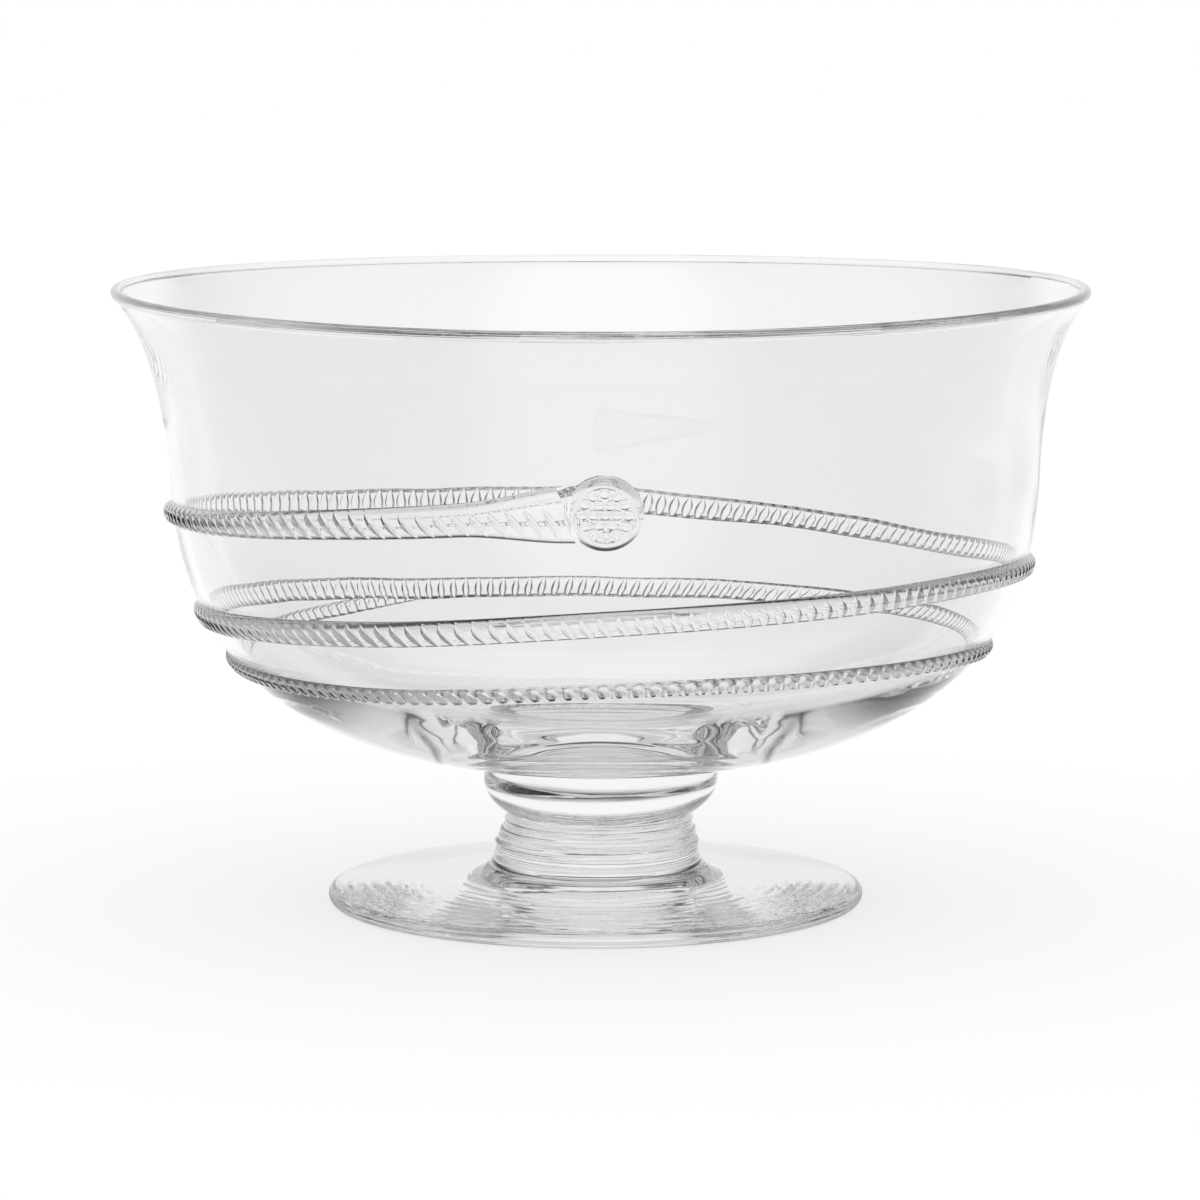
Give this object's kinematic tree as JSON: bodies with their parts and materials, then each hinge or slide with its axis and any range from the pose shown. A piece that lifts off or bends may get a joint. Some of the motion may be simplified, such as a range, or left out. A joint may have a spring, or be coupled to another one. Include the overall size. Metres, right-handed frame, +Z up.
{
  "type": "footed glass bowl",
  "caption": "Clear blown glass bowl with a flared lip on a collar, ringed stem and round foot, wound with a notched glass thread from a stamped seal.",
  "frame": {"origin": "middle of the face that the foot rests on, on the bowl's axis", "axes": "+Z up along the bowl's axis, -Y towards the front, where the stamped seal is"},
  "size_m": [0.25, 0.25, 0.1587],
  "materials": {
    "clear_glass": "clear hand-worked glass, fire-polished, with faint waves"
  },
  "bodies": {
    "root": {"bowl": "clear_glass", "collar": "clear_glass", "stem": "clear_glass", "foot": "clear_glass", "thread": "clear_glass", "seal": "clear_glass"}
  },
  "joints": []
}
